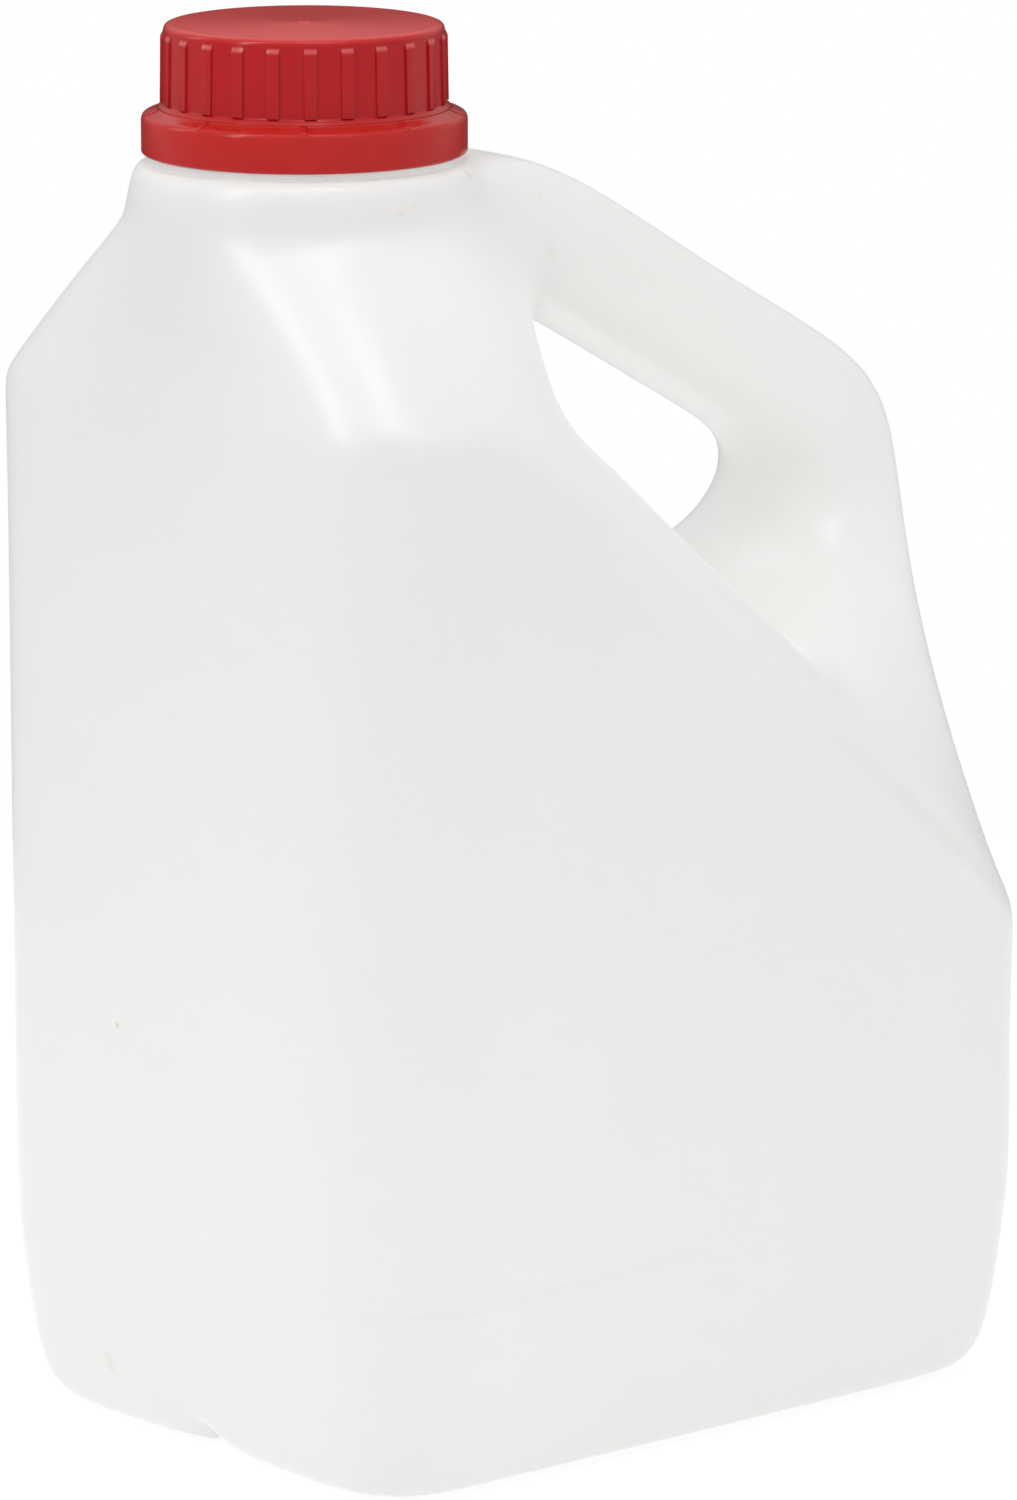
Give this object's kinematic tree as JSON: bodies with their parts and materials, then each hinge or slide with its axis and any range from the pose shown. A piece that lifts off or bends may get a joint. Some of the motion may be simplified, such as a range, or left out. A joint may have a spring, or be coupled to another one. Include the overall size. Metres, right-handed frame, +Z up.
{
  "type": "jerrycan",
  "caption": "Blow-moulded plastic water jerrycan with a through handle at the rear, an offset neck and a ribbed screw cap with tamper band.",
  "frame": {"origin": "centre of the base, on the surface it stands on", "axes": "+Z up out of the base, +X from the neck side towards the handle, +Y to the side across the mould's parting plane"},
  "size_m": [0.191, 0.1398, 0.299],
  "materials": {
    "natural_hdpe": "translucent white blown high-density polyethylene, silky sheen",
    "red_polypropylene": "injection-moulded, satin"
  },
  "bodies": {
    "root": {"bottle": "natural_hdpe", "cap": "red_polypropylene", "tamper_band": "red_polypropylene"}
  },
  "joints": []
}
